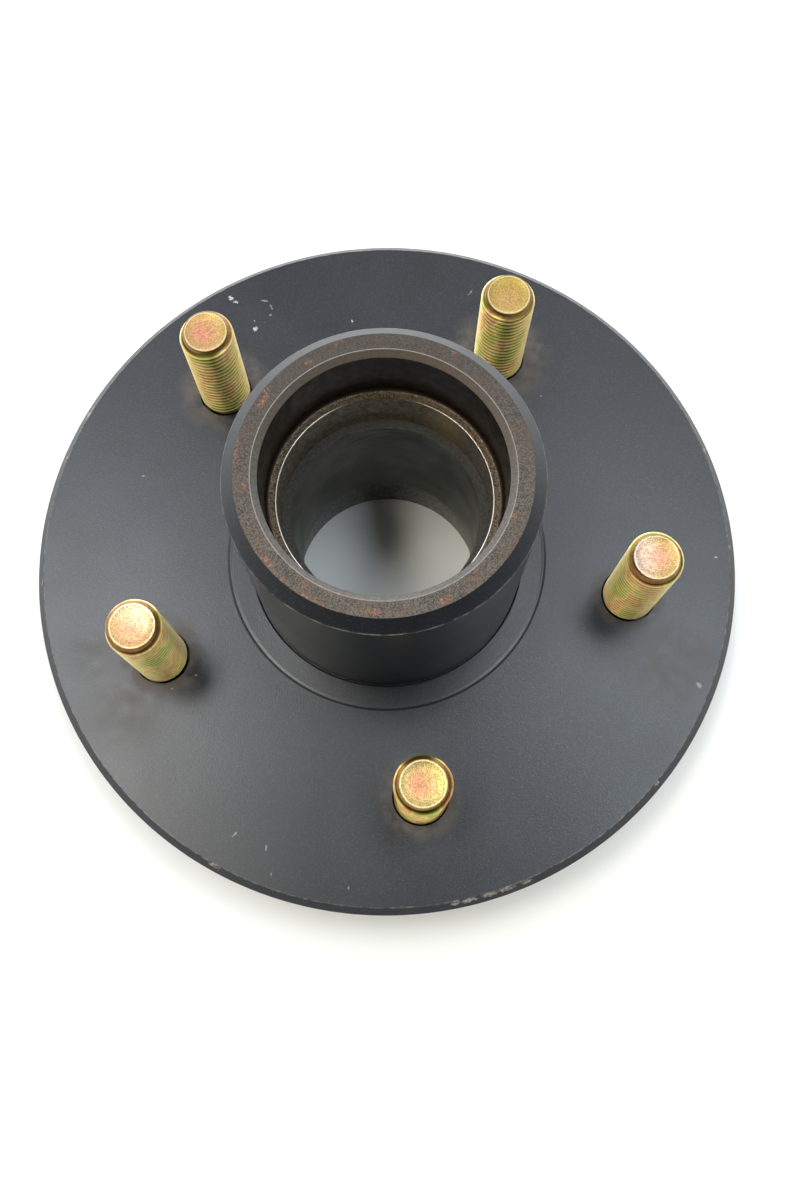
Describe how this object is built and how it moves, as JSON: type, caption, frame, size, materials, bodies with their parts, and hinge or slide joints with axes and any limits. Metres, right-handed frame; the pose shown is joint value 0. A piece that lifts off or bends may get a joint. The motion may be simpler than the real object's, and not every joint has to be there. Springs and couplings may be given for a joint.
{
  "type": "wheel hub",
  "caption": "Black wheel hub: round flange with pressed-in wheel studs, long nose barrel with a stepped through bore for bearings and dust cap.",
  "frame": {"origin": "centre of the rear end face, on the bore axis", "axes": "+Z along the bore axis, towards the nose and the stud ends; -Y through the first wheel stud"},
  "size_m": [0.164, 0.164, 0.0784],
  "materials": {
    "hub_paint": "satin black paint on turned cast iron",
    "stud_plating": "yellow chromate zinc plating"
  },
  "bodies": {
    "root": {"hub": "hub_paint", "stud_1": "stud_plating", "stud_2": "stud_plating", "stud_3": "stud_plating", "stud_4": "stud_plating", "stud_5": "stud_plating"}
  },
  "joints": []
}
